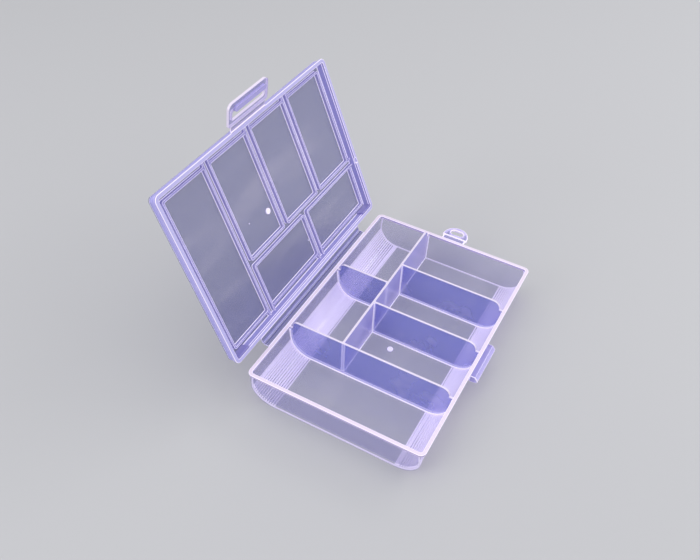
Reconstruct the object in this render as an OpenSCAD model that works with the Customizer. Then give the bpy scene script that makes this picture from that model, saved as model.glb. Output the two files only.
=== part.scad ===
// Clear bead organizer: six cell tray, ribbed lid on a film hinge, latch flap on a second film hinge.
// Millimetres. X runs along the hinge, +Y is the hinge side, -Y the latch side, Z up, origin under the tray.

/* [Box] */
// Length over the rims
body_l = 134; // [120:1:150]
// Width over the rims
body_w = 90; // [84:1:104]
// Height of the tray up to the rim
tray_h = 18.6; // [17:0.2:24]
// Wall and floor thickness
wall = 1.2; // [0.9:0.1:1.5]
// Width of the rim bead
rim_w = 1.8; // [1.6:0.1:2.4]
// Height of the rim bead
rim_h = 1.4; // [1:0.1:2]
// Outer corner radius of the rims
corner_r = 3; // [2.6:0.2:4]
// Radius between floor and long walls, inside
floor_r = 10.8; // [7:0.2:11.4]

/* [Dividers] */
// Thickness of the dividers
div_t = 1.1; // [0.8:0.1:1.6]
// Rise of the dividers above the rim
div_rise = 4.3; // [2.6:0.1:4.4]
// Wide cross divider along the length
div_wide_x = -31.8; // [-36:0.2:-28]
// Middle cross divider, latch side
div_mid_x = -0.4; // [-4:0.2:4]
// Far cross divider, latch side
div_far_x = 31; // [27:0.2:35]
// Cross divider of the hinge side
div_hinge_x = 15.4; // [8:0.2:22]
// Long divider across the width
div_long_y = 13.9; // [8:0.1:18]
// Step of the dividers below the rim top
div_step = 0.3; // [0.1:0.1:1]
// Rounding of the latch side shoulders
shoulder_latch_r = 4; // [2:0.2:4.2]
// Rounding of the hinge side shoulders
shoulder_hinge_r = 2.6; // [1.6:0.2:4]

/* [Lid] */
// Depth of the lid
lid_h = 5.9; // [5.6:0.1:8]
// Opening angle of the lid as it rests, 0 is closed
lid_open = 112; // [0:1:180]
// Gap between the closed lid and the tray
lid_gap = 0.3; // [0.2:0.05:0.5]
// Width of the rim bead of the lid
lid_rim_w = 2; // [1.8:0.1:2.4]
// Thickness of the ribs inside the lid
rib_t = 1.1; // [0.8:0.1:1.4]
// Height of the ribs inside the lid
rib_h = 2; // [1.2:0.1:2.6]
// Gap between the two ribs that take a divider
rib_gap = 2.6; // [2.2:0.1:3.4]
// Distance of the rib frames from the rim's outer edge
frame_inset = 4.9; // [4.4:0.1:6]

/* [Hinge] */
// Length of the film hinge
hinge_l = 96; // [70:1:104]
// Distance of the fold from the rims
hinge_reach = 2.96; // [2.4:0.02:4]
// Thickness of the hinge leaves
leaf_t = 0.5; // [0.4:0.05:0.8]

/* [Latch] */
// Width of the latch flap
latch_w = 30.6; // [26:0.2:36]
// Length of the latch flap from the fold
latch_l = 14.8; // [14:0.2:17]
// Thickness of the latch flap
latch_t = 1.2; // [0.9:0.1:1.4]
// Fold of the latch flap as it rests, 0 lies in the lid's plane, 90 hangs on the catch
latch_fold = 28; // [-30:1:90]
// Length of the catch
catch_l = 23.4; // [18:0.2:26]
// Height of the catch
catch_h = 3.8; // [2.8:0.1:4]
// How far the catch stands out from the rim
catch_out = 3; // [2.2:0.1:3.4]
// Drop of the catch below the rim
catch_drop = 5.6; // [5.2:0.1:6]

/* [Hang tab] */
// Width of the tab
tab_w = 14; // [12:0.2:18]
// Length of the tab
tab_l = 11; // [9:0.2:14]
// Thickness of the tab
tab_t = 1.4; // [1:0.1:1.4]
// Length of the hanging slot
tab_slot_l = 7.2; // [5:0.2:8]
// Width of the hanging slot
tab_slot_w = 3.8; // [3:0.1:4.6]

/* [Hidden] */
$fn = 64;
rim_z = tray_h - rim_h;
rim_inner_r = corner_r - rim_w;
in_x = body_l / 2 - rim_w;
in_y = body_w / 2 - rim_w;
side_draft = 6;
end_draft = 2.5;
side_out = wall / cos(side_draft);
end_out = wall / cos(end_draft);
arc_z = wall + floor_r;
arc_y = in_y - (rim_z - arc_z) * tan(side_draft) - floor_r / cos(side_draft);
outer_r = floor_r + wall;
div_top = tray_h + div_rise;
step_z = tray_h - div_step;
shoulder_in = 3.6;
shoulder_end = 4.4;
lid_rim_h = 1.3;
lid_rim_out = lid_rim_w - wall;
panel_t = wall;
panel_z = lid_h - panel_t;
rib_z = panel_z - rib_h;
skirt_x = body_l / 2 - lid_rim_w;
skirt_y = body_w / 2 - lid_rim_w;
tail_gap = 0.5;
notch_l = 3;
notch_d = 0.9;
fold_y = body_w / 2 + hinge_reach;
fold_z = tray_h + lid_gap / 2;
fold_clear = 0.2;
leaf_l = hinge_reach - fold_clear;
pair = rib_gap / 2;
out_x = body_l / 2 - frame_inset;
out_y = body_w / 2 - frame_inset;
latch_off = 0.45;
latch_z = 0.15;
latch_in = 0.15;
latch_body_v = 3;
root_w = latch_w - 3.2;
root_t = 0.6;
root_start = 0.4;
slot_clear = 0.25;
slot_start = catch_drop + lid_gap + latch_z - slot_clear;
slot_end = slot_start + catch_h + 3 * slot_clear;
slot_w = catch_l + 2;
bar_w = slot_w - 1.4;
bar_v = 2.6;
bar_out = 1.3;
neck_l = 2.8;
neck_w = tab_w - 1.4;
neck_t = 0.9;
mark_r = 1.5;
mark_h = 0.5;
mark_x = -6.8;
lug_w = 8.8;
lug_t = 1;
long_a = div_long_y - pair;
long_b = div_long_y + pair;
half_rib = rib_t / 2;

tray_color = [0.86, 0.85, 0.95];
lid_color = [0.80, 0.82, 0.96];
latch_color = [0.74, 0.78, 0.95];

// shared shapes

module rrect(l, w, r) {
    square([l - 2 * r, w], center = true);
    square([l, w - 2 * r], center = true);
    for (x = [-1, 1], y = [-1, 1])
        translate([x * (l / 2 - r), y * (w / 2 - r)])
            circle(r = r);
}

module block(x0, x1, y0, y1, z0, z1) {
    translate([x0, y0, z0])
        cube([x1 - x0, y1 - y0, z1 - z0]);
}

// across the tray, y to the right and z up; add is the wall thickness for the outside
module side_profile(r, add, top) {
    low = arc_z - r;
    tan_z = arc_z - r * sin(side_draft);
    tan_y = arc_y + r * cos(side_draft);
    edge = in_y + add;
    polygon([[-tan_y, tan_z], [tan_y, tan_z], [edge, rim_z], [edge, top], [-edge, top],
        [-edge, rim_z]]);
    translate([-arc_y, low])
        square([2 * arc_y, r]);
    for (s = [-1, 1])
        translate([s * arc_y, arc_z])
            circle(r = r, $fn = 128);
}

// along the tray, x to the right and z up
module end_profile(low, add, top) {
    foot = in_x + add - (rim_z - low) * tan(end_draft);
    edge = in_x + add;
    polygon([[-foot, low], [foot, low], [edge, rim_z], [edge, top], [-edge, top], [-edge, rim_z]]);
}

module along_x(l) {
    translate([-l / 2, 0, 0])
        rotate([90, 0, 90])
            linear_extrude(height = l)
                children();
}

module along_y(l) {
    translate([0, l / 2, 0])
        rotate([90, 0, 0])
            linear_extrude(height = l)
                children();
}

module tray_outside() {
    intersection() {
        along_x(body_l)
            side_profile(outer_r, side_out, rim_z);
        along_y(body_w)
            end_profile(0, end_out, rim_z);
        linear_extrude(height = rim_z)
            rrect(2 * (in_x + end_out), 2 * (in_y + side_out), rim_inner_r + wall);
    }
}

module tray_inside(top) {
    intersection() {
        along_x(body_l)
            side_profile(floor_r, 0, top);
        along_y(body_w)
            end_profile(wall, 0, top);
        linear_extrude(height = top)
            rrect(2 * in_x, 2 * in_y, rim_inner_r);
    }
}

// tray body

module tray_shell() {
    color(tray_color)
        difference() {
            tray_outside();
            tray_inside(tray_h);
        }
}

module tray_rim() {
    color(tray_color)
        translate([0, 0, rim_z])
            linear_extrude(height = rim_h)
                difference() {
                    rrect(body_l, body_w, corner_r);
                    rrect(2 * in_x, 2 * in_y, rim_inner_r);
                }
}

// outline of a full cross divider: floor curve below, shouldered crest above the step
module cross_outline() {
    ya = -body_w / 2 + shoulder_in;
    yb = body_w / 2 - shoulder_in;
    intersection() {
        side_profile(floor_r, 0, step_z);
        translate([-body_w / 2, 0])
            square([body_w, step_z]);
    }
    translate([ya, step_z - rim_h])
        square([yb - ya, div_top - step_z + rim_h - shoulder_latch_r]);
    translate([ya + shoulder_latch_r, step_z])
        square([yb - ya - shoulder_latch_r - shoulder_hinge_r, div_top - step_z]);
    translate([ya + shoulder_latch_r, div_top - shoulder_latch_r])
        circle(r = shoulder_latch_r);
    translate([yb - shoulder_hinge_r, div_top - shoulder_hinge_r])
        circle(r = shoulder_hinge_r);
    translate([0, step_z - rim_h])
        square([yb, div_top - step_z + rim_h - shoulder_hinge_r]);
}

module cross_divider(x, y0, y1) {
    translate([x, 0, 0])
        along_x(div_t)
            intersection() {
                cross_outline();
                translate([y0, 0])
                    square([y1 - y0, div_top]);
            }
}

module wide_divider() {
    color(tray_color)
        cross_divider(div_wide_x, -body_w / 2, body_w / 2);
}

module long_divider() {
    x0 = div_wide_x + div_t / 2;
    foot = in_x - (rim_z - wall) * tan(end_draft);
    x1 = body_l / 2 - shoulder_end;
    color(tray_color)
        translate([0, div_long_y, 0])
            along_y(div_t) {
                polygon([[x0, wall], [foot, wall], [in_x, rim_z], [in_x, step_z], [x0, step_z]]);
                translate([x0, step_z - rim_h])
                    square([x1 - x0 - shoulder_hinge_r, div_top - step_z + rim_h]);
                translate([x0, step_z - rim_h])
                    square([x1 - x0, div_top - step_z + rim_h - shoulder_hinge_r]);
                translate([x1 - shoulder_hinge_r, div_top - shoulder_hinge_r])
                    circle(r = shoulder_hinge_r);
            }
}

module latch_divider_mid() {
    color(tray_color)
        cross_divider(div_mid_x, -body_w / 2, div_long_y - div_t / 2);
}

module latch_divider_far() {
    color(tray_color)
        cross_divider(div_far_x, -body_w / 2, div_long_y - div_t / 2);
}

module hinge_divider() {
    color(tray_color)
        cross_divider(div_hinge_x, div_long_y + div_t / 2, body_w / 2);
}

// flat top, sloped nose, undercut below
module latch_catch() {
    top = tray_h - catch_drop;
    nose = -body_w / 2 - catch_out;
    color(tray_color)
        difference() {
            along_x(catch_l)
                polygon([[-arc_y, top], [nose + catch_out / 2, top], [nose, top - catch_h / 2],
                    [nose, top - catch_h * 0.8], [nose + catch_out / 2, top - catch_h],
                    [-arc_y, top - catch_h]]);
            tray_outside();
        }
}

module hang_tab() {
    x0 = body_l / 2;
    x1 = x0 + neck_l;
    color(tray_color) {
        block(x0, x1 + neck_t, -neck_w / 2, neck_w / 2, tray_h - tab_t, tray_h - tab_t + neck_t);
        translate([0, 0, tray_h - tab_t])
            linear_extrude(height = tab_t)
                difference() {
                    intersection() {
                        union() {
                            translate([x0 + tab_l - tab_w / 2, 0])
                                circle(d = tab_w);
                            translate([x1, -tab_w / 2])
                                square([tab_l - neck_l - tab_w / 2, tab_w]);
                        }
                        translate([x1, -tab_w])
                            square([tab_l, 2 * tab_w]);
                    }
                    translate([x1 + tab_slot_w / 2 + 2, 0])
                        for (s = [-1, 1])
                            translate([0, s * (tab_slot_l - tab_slot_w) / 2])
                                circle(d = tab_slot_w);
                    translate([x1 + 2, -(tab_slot_l - tab_slot_w) / 2])
                        square([tab_slot_w, tab_slot_l - tab_slot_w]);
                }
    }
}

module tray_hinge_leaf() {
    color(tray_color)
        block(-hinge_l / 2, hinge_l / 2, body_w / 2, body_w / 2 + leaf_l, tray_h - leaf_t, tray_h);
}

module tray_gate_mark() {
    color(tray_color)
        translate([mark_x, 0, wall])
            cylinder(r = mark_r, h = mark_h);
}

// lid body, drawn closed with z = 0 at the underside of its rim

module lid_place() {
    translate([0, fold_y, fold_z])
        rotate([-lid_open, 0, 0])
            translate([0, -fold_y, lid_gap / 2])
                children();
}

// quarter round edge of radius t all round a plate of thickness t
module round_plate(l, w, r, t) {
    linear_extrude(height = t)
        rrect(l - 2 * t, w - 2 * t, r - t);
    difference() {
        union() {
            for (s = [-1, 1]) {
                translate([0, s * (w / 2 - t), 0])
                    rotate([0, 90, 0])
                        cylinder(r = t, h = l - 2 * r, center = true);
                translate([s * (l / 2 - t), 0, 0])
                    rotate([90, 0, 0])
                        cylinder(r = t, h = w - 2 * r, center = true);
            }
        }
        translate([-l, -w, -2 * t])
            cube([2 * l, 2 * w, 2 * t]);
    }
    for (x = [-1, 1], y = [-1, 1])
        translate([x * (l / 2 - r), y * (w / 2 - r), 0])
            rotate_extrude()
                intersection() {
                    union() {
                        square([r - t, t]);
                        translate([r - t, 0])
                            circle(r = t);
                    }
                    square([r, t]);
                }
}

module lid_panel() {
    color(lid_color)
        lid_place()
            translate([0, 0, panel_z])
                round_plate(2 * (skirt_x + wall), 2 * (skirt_y + wall), corner_r - lid_rim_out, panel_t);
}

module lid_skirt() {
    color(lid_color)
        lid_place()
            translate([0, 0, lid_rim_h])
                linear_extrude(height = panel_z - lid_rim_h)
                    difference() {
                        rrect(2 * (skirt_x + wall), 2 * (skirt_y + wall), corner_r - lid_rim_out);
                        rrect(2 * skirt_x, 2 * skirt_y, corner_r - lid_rim_w);
                    }
}

module lid_rim() {
    color(lid_color)
        lid_place()
            difference() {
                linear_extrude(height = lid_rim_h)
                    difference() {
                        rrect(body_l, body_w, corner_r);
                        rrect(2 * skirt_x, 2 * skirt_y, corner_r - lid_rim_w);
                    }
                block(skirt_x - 1, skirt_x + notch_d, div_long_y - notch_l / 2,
                    div_long_y + notch_l / 2, -1, lid_rim_h / 2);
            }
}

module ring(x0, x1, y0, y1) {
    translate([(x0 + x1) / 2, (y0 + y1) / 2])
        difference() {
            rrect(x1 - x0, y1 - y0, rib_t);
            rrect(x1 - x0 - 2 * rib_t, y1 - y0 - 2 * rib_t, rib_t / 2);
        }
}

// rib tail across the lid at x, from y to the side wall on side s
module tail_y(x, y, s) {
    end = s * (skirt_y - tail_gap - rib_t / 2);
    translate([x, (y + end) / 2])
        square([rib_t, abs(end - y)], center = true);
    translate([x, end])
        circle(d = rib_t, $fn = 24);
}

module tail_x(x, y) {
    end = skirt_x - tail_gap - rib_t / 2;
    translate([(x + end) / 2, y])
        square([end - x, rib_t], center = true);
    translate([end, y])
        circle(d = rib_t, $fn = 24);
}

module ribs() {
    color(lid_color)
        lid_place()
            translate([0, 0, rib_z])
                linear_extrude(height = rib_h)
                    children();
}

module frame_wide() {
    x1 = div_wide_x - pair;
    ribs() {
        ring(-out_x, x1, -out_y, out_y);
        tail_y(x1 - half_rib, -out_y + rib_t, -1);
        tail_y(x1 - half_rib, out_y - rib_t, 1);
    }
}

module frame_latch(x0, x1) {
    ring(x0, x1, -out_y, long_a);
    tail_y(x0 + half_rib, -out_y + rib_t, -1);
}

module frame_latch_near() {
    x1 = div_mid_x - pair;
    ribs() {
        frame_latch(div_wide_x + pair, x1);
        tail_y(x1 - half_rib, -out_y + rib_t, -1);
    }
}

module frame_latch_mid() {
    x1 = div_far_x - pair;
    ribs() {
        frame_latch(div_mid_x + pair, x1);
        tail_y(x1 - half_rib, -out_y + rib_t, -1);
    }
}

module frame_latch_far() {
    ribs() {
        frame_latch(div_far_x + pair, out_x);
        tail_x(out_x - rib_t, long_a - half_rib);
    }
}

module frame_hinge_near() {
    x0 = div_wide_x + pair;
    x1 = div_hinge_x - pair;
    ribs() {
        ring(x0, x1, long_b, out_y);
        tail_y(x0 + half_rib, out_y - rib_t, 1);
        tail_y(x1 - half_rib, out_y - rib_t, 1);
    }
}

module frame_hinge_far() {
    x0 = div_hinge_x + pair;
    ribs() {
        ring(x0, out_x, long_b, out_y);
        tail_y(x0 + half_rib, out_y - rib_t, 1);
        tail_x(out_x - rib_t, long_b + half_rib);
    }
}

module lid_hinge_leaf() {
    color(lid_color)
        lid_place()
            block(-hinge_l / 2, hinge_l / 2, body_w / 2, body_w / 2 + leaf_l, 0, leaf_t);
}

// thicker stretch of skirt in a hinge side corner
module lid_lug(s) {
    color(lid_color)
        lid_place()
            linear_extrude(height = panel_z)
                intersection() {
                    rrect(2 * skirt_x, 2 * skirt_y, corner_r - lid_rim_w);
                    translate([s * (skirt_x - lug_w / 2), skirt_y - lug_t / 2])
                        square([lug_w, lug_t], center = true);
                }
}

module lid_lug_near() {
    lid_lug(-1);
}

module lid_lug_far() {
    lid_lug(1);
}

module lid_gate_mark() {
    color(lid_color)
        lid_place()
            translate([mark_x, 0, panel_z - mark_h])
                cylinder(r = mark_r, h = mark_h);
}

// latch body, drawn flat in the lid's plane: v runs away from the lid, the inner face looks down

module latch_place() {
    lid_place()
        translate([0, -body_w / 2 - latch_off, latch_z])
            rotate([latch_fold, 0, 0])
                mirror([0, 1, 0])
                    children();
}

module latch_root() {
    color(latch_color)
        latch_place()
            block(-root_w / 2, root_w / 2, root_start, latch_body_v, -latch_in, root_t - latch_in);
}

module latch_plate() {
    len = latch_l - latch_body_v;
    color(latch_color)
        latch_place()
            translate([0, 0, -latch_in])
                linear_extrude(height = latch_t)
                    difference() {
                        translate([0, latch_body_v + len / 2])
                            union() {
                                rrect(latch_w, len, corner_r);
                                translate([0, -len / 4])
                                    rrect(latch_w, len / 2, 1);
                            }
                        translate([0, (slot_start + slot_end) / 2])
                            rrect(slot_w, slot_end - slot_start, 1);
                    }
}

module latch_bar() {
    color(latch_color)
        latch_place()
            translate([0, slot_end + bar_v / 2, -latch_in - bar_out])
                linear_extrude(height = bar_out)
                    rrect(bar_w, bar_v, bar_v / 2 - 0.05);
}

tray_shell();
tray_rim();
wide_divider();
long_divider();
latch_divider_mid();
latch_divider_far();
hinge_divider();
latch_catch();
hang_tab();
tray_hinge_leaf();
tray_gate_mark();
lid_panel();
lid_skirt();
lid_rim();
frame_wide();
frame_latch_near();
frame_latch_mid();
frame_latch_far();
frame_hinge_near();
frame_hinge_far();
lid_hinge_leaf();
lid_lug_near();
lid_lug_far();
lid_gate_mark();
latch_root();
latch_plate();
latch_bar();
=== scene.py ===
# Clear bead organizer, standing open on a pale table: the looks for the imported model.
import math
import bmesh
import bpy
from mathutils import Matrix, Vector


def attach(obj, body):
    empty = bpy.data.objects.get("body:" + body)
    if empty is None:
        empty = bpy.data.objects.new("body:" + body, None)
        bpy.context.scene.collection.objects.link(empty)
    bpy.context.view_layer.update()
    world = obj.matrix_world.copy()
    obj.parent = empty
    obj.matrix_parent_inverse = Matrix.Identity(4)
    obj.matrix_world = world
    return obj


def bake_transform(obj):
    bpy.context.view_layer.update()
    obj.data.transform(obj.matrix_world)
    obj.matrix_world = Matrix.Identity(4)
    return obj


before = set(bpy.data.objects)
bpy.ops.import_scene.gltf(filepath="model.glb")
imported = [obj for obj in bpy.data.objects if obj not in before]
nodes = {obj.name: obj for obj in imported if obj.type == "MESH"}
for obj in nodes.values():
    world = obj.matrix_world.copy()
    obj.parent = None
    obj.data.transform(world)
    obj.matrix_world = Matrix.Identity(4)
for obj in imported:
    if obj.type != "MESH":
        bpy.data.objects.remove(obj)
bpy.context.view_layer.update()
mm = 0.001
print("frame loaded:", len(nodes), "pieces")

# angles in degrees, target and distance in mm, clip in metres
shot = {"azimuth": -63.605, "elevation": 44.271, "roll": 3.015, "target": (31.191, 40.047, 0.0),
        "distance": 431.568, "focalPixels": 779.493, "shiftPixels": (6.203, -2.449),
        "pixelsWide": 700, "sensor": 36, "clip": (0.01, 20)}


def makeCamera(s):
    az, el, roll = (math.radians(s[k]) for k in ("azimuth", "elevation", "roll"))
    back = Vector((math.sin(az) * math.cos(el), -math.cos(az) * math.cos(el), math.sin(el)))
    right = (-back).cross(Vector((0, 0, 1))).normalized()
    up = back.cross(right)
    sideways = right * math.cos(roll) + up * math.sin(roll)
    upward = up * math.cos(roll) - right * math.sin(roll)
    data = bpy.data.cameras.new("tableCamera")
    data.sensor_width = s["sensor"]
    data.lens = s["focalPixels"] / s["pixelsWide"] * s["sensor"]
    data.shift_x = -s["shiftPixels"][0] / s["pixelsWide"]
    data.shift_y = s["shiftPixels"][1] / s["pixelsWide"]
    data.clip_start, data.clip_end = s["clip"]
    cam = bpy.data.objects.new("tableCamera", data)
    turn = Matrix((sideways, upward, back)).transposed().to_4x4()
    cam.matrix_world = Matrix.Translation((Vector(s["target"]) + back * s["distance"]) * mm) @ turn
    bpy.context.scene.collection.objects.link(cam)
    bpy.context.scene.camera = cam


# lamps: name, place, width and height in metres, watts
light = {"sky": 0.68, "skyColor": (0.97, 0.98, 1.0), "aim": (0.02, 0.03, 0.03),
         "lamps": (("overhead", (-0.10, 0.15, 0.95), 0.9, 0.9, 1.9),
                   ("window", (-0.85, 0.55, 0.55), 0.6, 0.6, 2.4),
                   ("front", (0.25, -0.9, 0.6), 0.7, 0.7, 1.2),
                   ("strip", (0.64, -0.42, 0.58), 0.7, 0.16, 1.5))}


def makeLight(s):
    world = bpy.data.worlds.new("paleRoom")
    world.use_nodes = True
    world.node_tree.nodes["Background"].inputs["Color"].default_value = (*s["skyColor"], 1)
    world.node_tree.nodes["Background"].inputs["Strength"].default_value = s["sky"]
    bpy.context.scene.world = world
    for name, place, width, height, watts in s["lamps"]:
        data = bpy.data.lights.new(name, "AREA")
        data.shape = "RECTANGLE"
        data.size, data.size_y = width, height
        data.energy = watts
        lamp = bpy.data.objects.new(name, data)
        lamp.location = place
        lamp.rotation_euler = (Vector(s["aim"]) - Vector(place)).to_track_quat("-Z", "Y").to_euler()
        bpy.context.scene.collection.objects.link(lamp)


makeCamera(shot)
makeLight(light)
# light passes many clear walls in a row
bounces = {"transparent": 32, "all": 16}
sceneNow = bpy.context.scene
sceneNow.view_settings.view_transform = "Standard"
sceneNow.cycles.transparent_max_bounces = bounces["transparent"]
sceneNow.cycles.max_bounces = bounces["all"]
print("camera and light ready")

# sizes of the moulding in mm, as the CAD model has them
mould = {"length": 134, "width": 90, "trayHeight": 18.6, "wall": 1.2, "rimWidth": 1.8, "rimHeight": 1.4,
         "floorRadius": 10.8, "sideDraft": 6, "endDraft": 2.5, "divider": 1.1, "dividerTop": 22.9,
         "wideX": -31.8, "midX": -0.4, "farX": 31, "hingeX": 15.4, "longY": 13.9,
         "lidOpen": 112, "ribHeight": 2, "lidGap": 0.3, "lidRim": 2, "panelZ": 4.7, "foldReach": 2.96,
         "hingeLength": 96, "latchFold": 28, "latchOff": 0.45, "latchZ": 0.15, "latchRoot": 27.4}
rimZ = mould["trayHeight"] - mould["rimHeight"]
insideX = mould["length"] / 2 - mould["rimWidth"]
insideY = mould["width"] / 2 - mould["rimWidth"]
arcZ = mould["wall"] + mould["floorRadius"]
draft = math.radians(mould["sideDraft"])
endDraft = math.radians(mould["endDraft"])
arcY = insideY - (rimZ - arcZ) * math.tan(draft) - mould["floorRadius"] / math.cos(draft)
foldY = mould["width"] / 2 + mould["foldReach"]
foldZ = mould["trayHeight"] + mould["lidGap"] / 2
lidTurn = math.radians(-mould["lidOpen"])
latchTurn = lidTurn + math.radians(mould["latchFold"])


def lidPoint(x, y, z):
    # closed lid to open lid
    ry, rz = y - foldY, z + mould["lidGap"] / 2
    return Vector((x, foldY + ry * math.cos(lidTurn) - rz * math.sin(lidTurn),
                   foldZ + ry * math.sin(lidTurn) + rz * math.cos(lidTurn)))


lidNormal = (0, -math.sin(lidTurn), math.cos(lidTurn))
latchNormal = (0, -math.sin(latchTurn), math.cos(latchTurn))


def newMaterial(name):
    mat = bpy.data.materials.new(name)
    mat.use_nodes = True
    tree = mat.node_tree
    return mat, tree, tree.nodes["Principled BSDF"]


def addNode(tree, kind, links=(), values=(), **settings):
    node = tree.nodes.new(kind)
    for key, value in settings.items():
        setattr(node, key, value)
    for key, value in values:
        node.inputs[key].default_value = value
    for key, source in links:
        tree.links.new(source, node.inputs[key])
    return node


def stretch(tree, source, low, high, fromLow=0.0, fromHigh=1.0):
    node = addNode(tree, "ShaderNodeMapRange", [("Value", source)], interpolation_type="SMOOTHSTEP",
                   values=[("From Min", fromLow), ("From Max", fromHigh), ("To Min", low), ("To Max", high)])
    return node.outputs["Result"]


def combine(tree, operation, a, b):
    node = tree.nodes.new("ShaderNodeMath")
    node.operation = operation
    for socket, value in zip(node.inputs, (a, b)):
        if isinstance(value, (int, float)):
            socket.default_value = value
        else:
            tree.links.new(value, socket)
    return node.outputs[0]


def blendColor(tree, share, a, b):
    node = addNode(tree, "ShaderNodeMix", data_type="RGBA")
    for key, value in (("Factor", share), ("A", a), ("B", b)):
        socket = [i for i in node.inputs if i.name == key and (key == "Factor" or i.type == "RGBA")][0]
        if isinstance(value, tuple):
            socket.default_value = (*value, 1)
        else:
            tree.links.new(value, socket)
    return [o for o in node.outputs if o.type == "RGBA"][0]


# what every finish has, unless it says otherwise
# the line colour is the pale colour of the painted highlights; the melt's flow streaks borrow it too
common = {"highlightLine": (0.90, 0.81, 0.98), "highlightAlpha": 0.95, "cloudScale": 55, "flow": 0.15,
          "flowScale": (12, 70, 70), "flowTurn": 0.5, "flowRise": (0.52, 0.72), "edgeBlend": 0.35,
          "glint": 0.8, "glintRise": (0.62, 0.95), "grainScale": 900, "grain": 0.04, "grainDepth": 0.0003,
          "ior": 1.49, "glow": 0.0, "glowColor": (0.84, 0.80, 1.0)}
# painted highlight: share of the line colour where a normal is square to the axis and where it follows it,
# and the rise between
crestHighlights = {"across": ((1, 0), (0.45, 0.85)), "facing": ((0, 1), (0.7, 0.95))}


def clearPlastic(name, own):
    s = {**common, **own}
    mat, tree, shader = newMaterial(name)
    place = addNode(tree, "ShaderNodeTexCoord")
    # slow change of milkiness through the wall
    cloud = addNode(tree, "ShaderNodeTexNoise", [("Vector", place.outputs["Object"])],
                    [("Scale", s["cloudScale"]), ("Detail", 3)])
    tint = blendColor(tree, cloud.outputs["Fac"], s["color"], s["cloud"])
    # flow of the melt, drawn out along the box, in streaks of the pale line colour
    run = addNode(tree, "ShaderNodeMapping", [("Vector", place.outputs["Object"])],
                  [("Scale", s["flowScale"]), ("Rotation", (0, 0, s["flowTurn"]))])
    flow = addNode(tree, "ShaderNodeTexNoise", [("Vector", run.outputs["Vector"])],
                   [("Scale", 1.0), ("Detail", 2)])
    flowShare = stretch(tree, flow.outputs["Fac"], 0, s["flow"], *s["flowRise"])
    tint = blendColor(tree, flowShare, tint, common["highlightLine"])
    # a wall seen along its surface is milkier
    edgeOn = addNode(tree, "ShaderNodeLayerWeight", values=[("Blend", s["edgeBlend"])])
    milk = stretch(tree, edgeOn.outputs["Facing"], s["alpha"], s["edgeAlpha"])
    # painted highlight: near the outline the colour turns to the line colour
    glint = stretch(tree, edgeOn.outputs["Facing"], 0, s["glint"], *s["glintRise"])
    share = glint
    if "axis" in s:
        # painted highlight: narrow faces of a plate, or the crest of a rib, take the line colour for the
        # light they gather
        along = addNode(tree, "ShaderNodeVectorMath", [(0, place.outputs["Normal"])], operation="DOT_PRODUCT",
                        values=[(1, s["axis"])])
        turned = combine(tree, "ABSOLUTE", along.outputs["Value"], 0)
        amounts, rise = crestHighlights[s["crest"]]
        share = combine(tree, "MAXIMUM", glint, stretch(tree, turned, *amounts, *rise))
    tree.links.new(blendColor(tree, share, tint, s["highlightLine"]), shader.inputs["Base Color"])
    highlightAlpha = addNode(tree, "ShaderNodeMix", [("Factor", share), ("A", milk)], [("B", s["highlightAlpha"])])
    tree.links.new(highlightAlpha.outputs[0], shader.inputs["Alpha"])
    grain = addNode(tree, "ShaderNodeTexNoise", [("Vector", place.outputs["Object"])],
                    [("Scale", s["grainScale"]), ("Detail", 2)])
    bump = addNode(tree, "ShaderNodeBump", [("Height", grain.outputs["Fac"])],
                   [("Strength", s["grain"]), ("Distance", s["grainDepth"])])
    tree.links.new(bump.outputs["Normal"], shader.inputs["Normal"])
    shader.inputs["Roughness"].default_value = s["roughness"]
    shader.inputs["IOR"].default_value = s["ior"]
    # stands in for the light that a clear edge gathers from the rest of the moulding
    shader.inputs["Emission Color"].default_value = (*s["glowColor"], 1)
    shader.inputs["Emission Strength"].default_value = s["glow"]
    return mat


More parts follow.
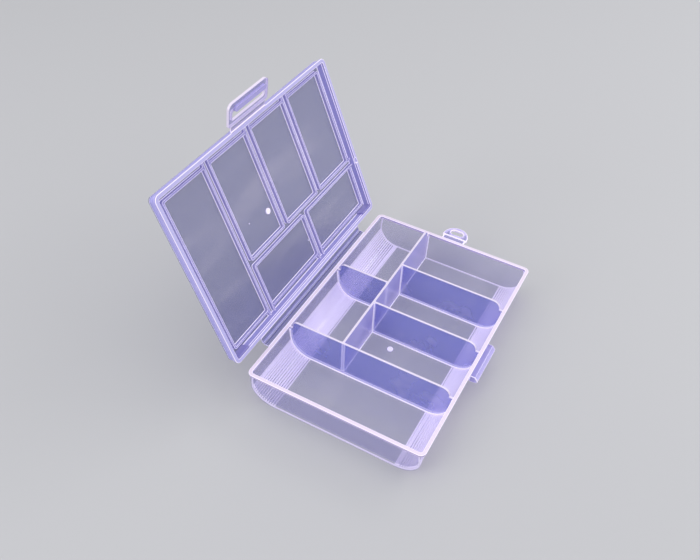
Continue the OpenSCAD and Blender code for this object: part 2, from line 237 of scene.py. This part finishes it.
web = {"color": (0.22, 0.22, 0.50), "cloud": (0.18, 0.18, 0.44), "highlightLine": (0.62, 0.60, 0.98),
       "alpha": 0.4, "edgeAlpha": 0.5, "roughness": 0.14, "ior": 1.8, "crest": "across"}
finishes = {
    # the line finish glows: painted highlight lines along edges, feet and crests and on rounded edges, also
    # worn by the gate marks and pips
    "highlightLine": {"color": (0.95, 0.88, 1.0), "cloud": (0.90, 0.81, 0.98), "alpha": 0.95, "edgeAlpha": 0.98,
             "roughness": 0.2, "glow": 0.32},
    # the rims' faces turned along the axis, their tops, take a paler line colour: a painted highlight
    "trayRim": {"color": (0.62, 0.54, 0.84), "cloud": (0.55, 0.48, 0.78), "alpha": 0.72, "edgeAlpha": 0.9,
                "roughness": 0.2, "axis": (0, 0, 1), "crest": "facing", "highlightLine": (0.93, 0.80, 0.97)},
    "lidRim": {"color": (0.50, 0.46, 0.90), "cloud": (0.44, 0.40, 0.84), "alpha": 0.8, "edgeAlpha": 0.92,
               "roughness": 0.2, "axis": lidNormal, "crest": "facing", "highlightLine": (0.62, 0.58, 0.97)},
    "wall": {"color": (0.36, 0.34, 0.68), "cloud": (0.30, 0.28, 0.60), "alpha": 0.24, "edgeAlpha": 0.52,
             "roughness": 0.13, "ior": 1.9, "grain": 0.02},
    "dividerX": {"color": (0.26, 0.28, 0.84), "cloud": (0.22, 0.24, 0.76), "alpha": 0.42, "edgeAlpha": 0.64,
                 "roughness": 0.16, "ior": 1.7, "axis": (1, 0, 0), "crest": "across"},
    "dividerY": {"color": (0.66, 0.61, 1.0), "cloud": (0.55, 0.51, 0.98), "alpha": 0.6, "edgeAlpha": 0.78,
                 "roughness": 0.16, "ior": 1.7, "axis": (0, 1, 0), "crest": "across"},
    # painted highlight: the lid skirt is a brighter lavender than the rest of the lid, for the light it
    # reflects and focuses
    "litLidSkirt": {"color": (0.50, 0.47, 0.96), "cloud": (0.42, 0.40, 0.90), "alpha": 0.72, "edgeAlpha": 0.85,
                 "roughness": 0.16, "ior": 1.7},
    "lidRib": {"color": (0.42, 0.39, 0.80), "cloud": (0.36, 0.33, 0.74), "alpha": 0.66, "edgeAlpha": 0.8,
               "roughness": 0.16},
    "panel": {"color": (0.16, 0.17, 0.44), "cloud": (0.14, 0.14, 0.38), "alpha": 0.42, "edgeAlpha": 0.55,
              "roughness": 0.14, "grain": 0.08, "ior": 1.8},
    "tab": {"color": (0.34, 0.31, 0.70), "cloud": (0.28, 0.26, 0.64), "alpha": 0.42, "edgeAlpha": 0.6,
            "roughness": 0.14, "ior": 1.8, "axis": (0, 0, 1), "crest": "across"},
    "web": {**web, "axis": (0, 0, 1)},
    "lidWeb": {**web, "axis": lidNormal},
    "flap": {"color": (0.32, 0.29, 0.66), "cloud": (0.26, 0.24, 0.58), "alpha": 0.44, "edgeAlpha": 0.6,
             "roughness": 0.14, "ior": 1.8, "axis": latchNormal, "crest": "across"},
    "catch": {"color": (0.54, 0.50, 0.96), "cloud": (0.48, 0.44, 0.92), "alpha": 0.64, "edgeAlpha": 0.8,
              "roughness": 0.16, "ior": 1.7},
}
mats = {k: clearPlastic(k + "Plastic", v) for k, v in finishes.items()}

roundEdge = {"segments": 2, "angle": 32, "weld": 0.005}
ribs = [n for n in nodes if n.startswith("frame_")]
# pieces, their finish, and the width in mm of their rounded edges
dressing = ((["tray_rim"], "trayRim", 0.25), (["lid_rim"], "lidRim", 0.25), (["latch_catch"], "catch", 0.35),
            (["hang_tab"], "tab", 0.35), (["tray_hinge_leaf"], "web", 0.15),
            (["lid_hinge_leaf"], "lidWeb", 0.15), (["latch_root"], "flap", 0.2),
            (["latch_plate"], "flap", 0.35), (["latch_bar", "lid_lug_near", "lid_lug_far"], "lidRib", 0.35),
            (["lid_gate_mark", "tray_gate_mark"], "highlightLine", 0.25), (["tray_shell"], "wall", 0.3),
            (["wide_divider", "latch_divider_mid", "latch_divider_far", "hinge_divider"], "dividerX", 0.25),
            (["long_divider"], "dividerY", 0.25), (["lid_panel"], "panel", 0.25),
            (["lid_skirt"], "litLidSkirt", 0.25), (ribs, "lidRib", 0.3))


def dress(names, mat, width):
    for n in names:
        node = nodes[n]
        node.data.materials.clear()
        node.data.materials.append(mats[mat])
        node.data.materials.append(mats["highlightLine"])
        weld = node.modifiers.new("weld", "WELD")
        weld.merge_threshold = roundEdge["weld"] * mm
        bevel = node.modifiers.new("roundEdge", "BEVEL")
        bevel.width = width * mm
        bevel.segments = roundEdge["segments"]
        bevel.limit_method = "ANGLE"
        bevel.angle_limit = math.radians(roundEdge["angle"])
        bevel.harden_normals = True
        # the rounded edges take the second slot, the glowing line finish: a painted highlight
        bevel.material = 1


for names, mat, width in dressing:
    dress(names, mat, width)
print("finishes ready")


def newTree(name, inputs):
    tree = bpy.data.node_groups.new(name, "GeometryNodeTree")
    for label, kind in inputs:
        tree.interface.new_socket(label, in_out="INPUT", socket_type="NodeSocket" + kind)
    tree.interface.new_socket("Made", in_out="OUTPUT", socket_type="NodeSocketGeometry")
    return tree, tree.nodes.new("NodeGroupInput")


def paint(tree, given, geometry):
    painted = addNode(tree, "GeometryNodeSetMaterial",
                      [("Geometry", geometry), ("Material", given.outputs["Finish"])])
    tree.links.new(painted.outputs[0], tree.nodes.new("NodeGroupOutput").inputs[0])
    return tree


def lineTree():
    # a round line along every path
    tree, given = newTree("highlightLineTubes", (("Paths", "Geometry"), ("Thickness", "Float"), ("Sides", "Int"),
                                          ("Finish", "Material")))
    half = combine(tree, "MULTIPLY", given.outputs["Thickness"], 0.5)
    ring = addNode(tree, "GeometryNodeCurvePrimitiveCircle",
                   [("Radius", half), ("Resolution", given.outputs["Sides"])])
    path = addNode(tree, "GeometryNodeMeshToCurve", [("Mesh", given.outputs["Paths"])])
    tube = addNode(tree, "GeometryNodeCurveToMesh",
                   [("Curve", path.outputs[0]), ("Profile Curve", ring.outputs[0])], [("Fill Caps", True)])
    smooth = addNode(tree, "GeometryNodeSetShadeSmooth", [("Geometry", tube.outputs[0])])
    real = addNode(tree, "GeometryNodeRealizeInstances", [("Geometry", smooth.outputs[0])])
    return paint(tree, given, real.outputs[0])


def pipTree():
    # a small ball at every place
    tree, given = newTree("mouldPips", (("Places", "Geometry"), ("Radius", "Float"), ("Finish", "Material")))
    ball = addNode(tree, "GeometryNodeMeshIcoSphere", [("Radius", given.outputs["Radius"])],
                   [("Subdivisions", 3)])
    put = addNode(tree, "GeometryNodeInstanceOnPoints",
                  [("Points", given.outputs["Places"]), ("Instance", ball.outputs[0])])
    real = addNode(tree, "GeometryNodeRealizeInstances", [("Geometry", put.outputs[0])])
    smooth = addNode(tree, "GeometryNodeSetShadeSmooth", [("Geometry", real.outputs[0])])
    return paint(tree, given, smooth.outputs[0])


trees = {"highlightLine": lineTree(), "pip": pipTree()}
# distances in metres within which points become one
together = {"seed": 2e-6, "made": 1e-7, "solid": 6e-6}


def mergePoints(mesh, distance, outward=False):
    bm = bmesh.new()
    bm.from_mesh(mesh)
    bmesh.ops.remove_doubles(bm, verts=bm.verts, dist=distance)
    if outward:
        bmesh.ops.recalc_face_normals(bm, faces=bm.faces)
    bm.to_mesh(mesh)
    bm.free()


def grow(name, paths, tree, body, slotName, **inputs):
    # paths in mm, each a list of points; the result is a plain mesh that rides on its body
    points = [Vector(p) * mm for path in paths for p in path]
    edges, start = [], 0
    for path in paths:
        if tree == "highlightLine":
            edges += [(start + i, start + i + 1) for i in range(len(path) - 1)]
        start += len(path)
    seed = bpy.data.meshes.new(name + "Seed")
    seed.from_pydata([tuple(p) for p in points], edges, [])
    mergePoints(seed, together["seed"])
    holder = bpy.data.objects.new(name + "Seed", seed)
    bpy.context.scene.collection.objects.link(holder)
    made = holder.modifiers.new("grow", "NODES")
    made.node_group = trees[tree]
    sockets = {i.name: i.identifier for i in trees[tree].interface.items_tree if i.in_out == "INPUT"}
    for key, value in inputs.items():
        made[sockets[key]] = value
    graph = bpy.context.evaluated_depsgraph_get()
    mesh = bpy.data.meshes.new_from_object(holder.evaluated_get(graph), depsgraph=graph)
    bpy.data.objects.remove(holder)
    mergePoints(mesh, together["made"], outward=True)
    piece = bpy.data.objects.new(name, mesh)
    bpy.context.scene.collection.objects.link(piece)
    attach(piece, body)
    print(name, "made,", len(mesh.polygons), "faces")


# bright tubes in the glowing line finish: painted highlights along feet, edges and crests
def growHighlightLines(name, paths, body, slotName, s):
    grow(name, paths, "highlightLine", body, slotName, Thickness=s["thickness"] * mm, Sides=s["sides"],
         Finish=mats["highlightLine"])


footLine = {"thickness": 0.9, "sides": 8, "arcSteps": 14, "belowTop": 0.3}


def acrossInside(x, y0, y1):
    # the U of the tray's inside at x, as far as it lies between y0 and y1
    r, steps, lean = mould["floorRadius"], footLine["arcSteps"], mould["sideDraft"]
    turns = [math.radians(180 + lean + (90 - lean) * i / steps) for i in range(steps + 1)]
    latchSide = [(-arcY + r * math.cos(a), arcZ + r * math.sin(a)) for a in turns]
    top = [(-insideY, rimZ)]
    whole = top + latchSide + [(-y, z) for y, z in reversed(top + latchSide)]
    cut = [p for p in whole if y0 <= p[0] <= y1]
    if y1 < insideY:
        cut.append((y1, mould["wall"]))
    if y0 > -insideY:
        cut.insert(0, (y0, mould["wall"]))
    return [(x, y, z) for y, z in cut]


def closedHeight(p):
    # height above the rim plane, as if the lid were closed
    return (p.y - foldY) * lidNormal[1] + (p.z - foldZ) * lidNormal[2] - mould["lidGap"] / 2


def sharpEdges(node, wanted, depth=0.0, bend=40):
    # short paths along the edges of a piece that bend by more than bend degrees, depth mm under its skin
    bm = bmesh.new()
    bm.from_mesh(nodes[node].data)
    bmesh.ops.remove_doubles(bm, verts=bm.verts, dist=together["solid"])
    bm.normal_update()
    found = []
    for edge in bm.edges:
        if len(edge.link_faces) == 2 and edge.calc_face_angle(0) > math.radians(bend):
            ends = [v.co / mm for v in edge.verts]
            if wanted(*ends):
                found.append([end - v.normal * depth for end, v in zip(ends, edge.verts)])
    bm.free()
    return found


def trayLines():
    # paths of the painted highlight lines: the foot of each divider on both its sides, and the corners where
    # dividers meet
    t, ly = mould["divider"] / 2, mould["longY"]
    far, up = mould["width"], mould["dividerTop"] - footLine["belowTop"]
    paths = [acrossInside(mould["wideX"] - t, -far, far)]
    for x, side in ((mould["wideX"] + t, "both"), (mould["midX"] - t, "latch"), (mould["midX"] + t, "latch"),
                    (mould["farX"] - t, "latch"), (mould["farX"] + t, "latch"),
                    (mould["hingeX"] - t, "hinge"), (mould["hingeX"] + t, "hinge")):
        if side != "hinge":
            paths.append(acrossInside(x, -far, ly - t) + [(x, ly - t, up)])
        if side != "latch":
            paths.append([(x, ly + t, up)] + acrossInside(x, ly + t, far))
    endX = insideX - (rimZ - mould["wall"]) * math.tan(endDraft)
    stops = {-1: (mould["wideX"], mould["midX"], mould["farX"]), 1: (mould["wideX"], mould["hingeX"])}
    for side, xs in stops.items():
        y = ly + side * t
        for a, b in zip(xs, xs[1:] + (None,)):
            run = [(a + t, y, mould["wall"]), ((b - t) if b else endX, y, mould["wall"])]
            paths.append(run if b else run + [(insideX, y, rimZ)])
    return paths


growHighlightLines("divider_foot_highlights", trayLines(), "tray", "tray_plastic", footLine)


def roundedLoop(x, y, r, z, steps=4):
    # a rectangle of half sizes x and y with rounded corners, at height z
    loop = []
    for cx, cy, a0 in ((x - r, y - r, 0), (-x + r, y - r, 90), (-x + r, -y + r, 180), (x - r, -y + r, 270)):
        loop += [(cx + r * math.cos(math.radians(a0 + 90 * i / steps)),
                  cy + r * math.sin(math.radians(a0 + 90 * i / steps)), z) for i in range(steps + 1)]
    return loop + [loop[0]]


# mm, apart from sunk: how deep a line lies under its edge, in half thicknesses on edges, as a share of
# that depth on the flap and in thicknesses on the rib crests
edgeLine = {"thickness": 0.8, "sides": 8, "sunk": 1.41}
endLine = {"bend": 1.5, "offFace": 0.03, "belowRim": 0.4}
catchLine = {"outsideY": -44.5, "deeper": 0.1, "bend": 25}
flapLine = {"thickness": 0.45, "sides": 8, "sunk": 0.7}
footOfRibs = {"thickness": 0.5, "sides": 6}
crestOfRibs = {"thickness": 0.42, "sides": 6, "sunk": 0.6}
sameLevel = 0.02
lidFoot = {"thickness": 0.7, "sides": 8, "corner": 1.0}
inset = edgeLine["thickness"] / 2 * edgeLine["sunk"]
endOut = insideX + mould["wall"] / math.cos(endDraft)


def everyEdge(a, b):
    return True


def onEndFace(p):
    lean = (rimZ - p.z) * math.tan(endDraft)
    return abs(abs(p.x) - endOut + lean) < endLine["offFace"]


def endBorder(a, b):
    # the border of each end wall's flat face, round its U and up to the rim
    return onEndFace(a) and onEndFace(b) and min(a.z, b.z) < rimZ - endLine["belowRim"]


def catchFront(a, b):
    return max(a.y, b.y) < catchLine["outsideY"]


def ribEdges(height, depth=0.0):
    # the edges of every rib frame that lie at one height, as if the lid were closed
    def level(a, b):
        return all(abs(closedHeight(p) - height) < sameLevel for p in (a, b))
    return [path for n in ribs for path in sharpEdges(n, level, depth)]


# painted highlights along the edges of the end walls, hang tab, catch and flap
endPaths = sharpEdges("tray_shell", endBorder, inset, endLine["bend"])
catchPaths = sharpEdges("latch_catch", catchFront, inset + catchLine["deeper"], catchLine["bend"])
flapPaths = [path for n in ("latch_plate", "latch_bar")
             for path in sharpEdges(n, everyEdge, inset * flapLine["sunk"])]
growHighlightLines("tray_end_highlights", endPaths, "tray", "tray_plastic", edgeLine)
growHighlightLines("tab_edge_highlight", sharpEdges("hang_tab", everyEdge, inset), "tray", "tray_plastic", edgeLine)
growHighlightLines("catch_edge_highlight", catchPaths, "tray", "tray_plastic", edgeLine)
growHighlightLines("flap_edge_highlight", flapPaths, "latch", "latch_plastic", flapLine)

# painted highlights along the feet and crests of the lid ribs and round the foot of the skirt
crestPaths = ribEdges(mould["panelZ"] - mould["ribHeight"], crestOfRibs["thickness"] * crestOfRibs["sunk"])
growHighlightLines("rib_foot_highlights", ribEdges(mould["panelZ"]), "lid", "lid_plastic", footOfRibs)
growHighlightLines("rib_crest_highlights", crestPaths, "lid", "lid_plastic", crestOfRibs)

lidX, lidY = mould["length"] / 2 - mould["lidRim"], mould["width"] / 2 - mould["lidRim"]
skirtFoot = [lidPoint(*p) for p in roundedLoop(lidX, lidY, lidFoot["corner"], mould["panelZ"])]
growHighlightLines("lid_foot_highlight", [skirtFoot], "lid", "lid_plastic", lidFoot)

pips = {"trayRadius": 0.36, "tray": ((-65.4, 34.7, 18.4), (31.68, -32.4, 22.3), (-31.9, -8.0, 22.75)),
        "lidRadius": 0.3, "lid": ((-21.0, -2.2, 4.7), (12.0, 30.0, 4.7))}
grow("tray_pips", [pips["tray"]], "pip", "tray", "tray_plastic", Radius=pips["trayRadius"] * mm,
     Finish=mats["highlightLine"])
grow("lid_pips", [[lidPoint(*p) for p in pips["lid"]]], "pip", "lid", "lid_plastic",
     Radius=pips["lidRadius"] * mm, Finish=mats["highlightLine"])


def filmMesh(name, middle, halves, length, crease, mat, creaseMat):
    # a bending strip along X: middle line and half thickness in the YZ plane, mm;
    # the rows from crease[0] to crease[1], and the strip's two end faces, take the second, lighter material:
    # a painted highlight
    count = len(middle)
    sides = []
    for i, (y, z) in enumerate(middle):
        a, b = middle[max(i - 1, 0)], middle[min(i + 1, count - 1)]
        d = Vector((b[0] - a[0], b[1] - a[1])).normalized()
        n = Vector((-d.y, d.x)) * halves[i]
        sides.append(((y + n.x, z + n.y), (y - n.x, z - n.y)))
    bm = bmesh.new()
    rows = []
    for x in (-length / 2, length / 2):
        rows.append([[bm.verts.new(Vector((x, *p)) * mm) for p in pair] for pair in sides])
    near, far = rows
    for i in range(count - 1):
        bright = 1 if crease[0] <= i < crease[1] else 0
        for k in (0, 1):
            bm.faces.new((near[i][k], near[i + 1][k], far[i + 1][k], far[i][k])).material_index = bright
        bm.faces.new((near[i][0], near[i][1], near[i + 1][1], near[i + 1][0])).material_index = 1
        bm.faces.new((far[i][0], far[i][1], far[i + 1][1], far[i + 1][0])).material_index = 1
    for i in (0, count - 1):
        bm.faces.new((near[i][0], near[i][1], far[i][1], far[i][0]))
    bmesh.ops.recalc_face_normals(bm, faces=bm.faces)
    mesh = bpy.data.meshes.new(name)
    bm.to_mesh(mesh)
    bm.free()
    mesh.materials.append(mats[mat])
    mesh.materials.append(mats[creaseMat])
    piece = bpy.data.objects.new(name, mesh)
    bpy.context.scene.collection.objects.link(piece)
    return piece


# all in mm; tails, inward and outward are distances from the fold
bends = {"hinge": {"fold": 0.4, "tails": (0.15, 0.5, 1.3), "tailHalf": 0.2, "foldHalf": 0.12, "steps": 8,
                   "crease": (5, 9), "shorter": 0.6},
         "latch": {"inward": (0.75, 0.4, 0.12), "outward": (0.12, 0.4, 0.9), "crease": (1, 5),
                   "halves": (0.2, 0.16, 0.13, 0.13, 0.13, 0.16, 0.2), "shorter": 0.4}}


def hingeFilm(s):
    r, steps, tails = s["fold"], s["steps"], s["tails"]
    turnTo = 90 - mould["lidOpen"]
    arc = [math.radians(-90 + (turnTo + 90) * i / steps) for i in range(steps + 1)]
    bend = [(foldY + r * math.cos(a), foldZ + r * math.sin(a)) for a in arc]
    along = Vector((-math.sin(arc[-1]), math.cos(arc[-1])))
    middle = [(foldY - t, foldZ - r) for t in reversed(tails)] + bend
    middle += [(bend[-1][0] + along.x * t, bend[-1][1] + along.y * t) for t in tails]
    halves = [s["tailHalf"]] * 2 + [s["foldHalf"]] * (steps + 3) + [s["tailHalf"]] * 2
    length = mould["hingeLength"] - s["shorter"]
    piece = filmMesh("hinge_film", middle, halves, length, s["crease"], "web", "lidRib")
    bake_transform(piece)


def latchFilm(s):
    fold = Vector((-mould["width"] / 2 - mould["latchOff"], mould["latchZ"]))
    a = math.radians(mould["latchFold"])
    out = Vector((-math.cos(a), -math.sin(a)))
    flat = [fold + Vector((t, 0)) for t in s["inward"]] + [fold] + [fold + out * t for t in s["outward"]]
    middle = [tuple(lidPoint(0, *p).yz) for p in flat]
    length = mould["latchRoot"] - s["shorter"]
    piece = filmMesh("latch_film", middle, s["halves"], length, s["crease"], "flap", "highlightLine")
    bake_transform(piece)


hingeFilm(bends["hinge"])
latchFilm(bends["latch"])
print("films ready")

table = {"size": 3.0, "color": (0.56, 0.56, 0.58), "roughness": 0.6}


def makeTable(s):
    mesh = bpy.data.meshes.new("tableTop")
    bm = bmesh.new()
    bmesh.ops.create_grid(bm, x_segments=1, y_segments=1, size=s["size"])
    bm.to_mesh(mesh)
    bm.free()
    top = bpy.data.objects.new("tableTop", mesh)
    bpy.context.scene.collection.objects.link(top)
    mat, _, shader = newMaterial("paleTable")
    shader.inputs["Base Color"].default_value = (*s["color"], 1)
    shader.inputs["Roughness"].default_value = s["roughness"]
    mesh.materials.append(mat)


makeTable(table)
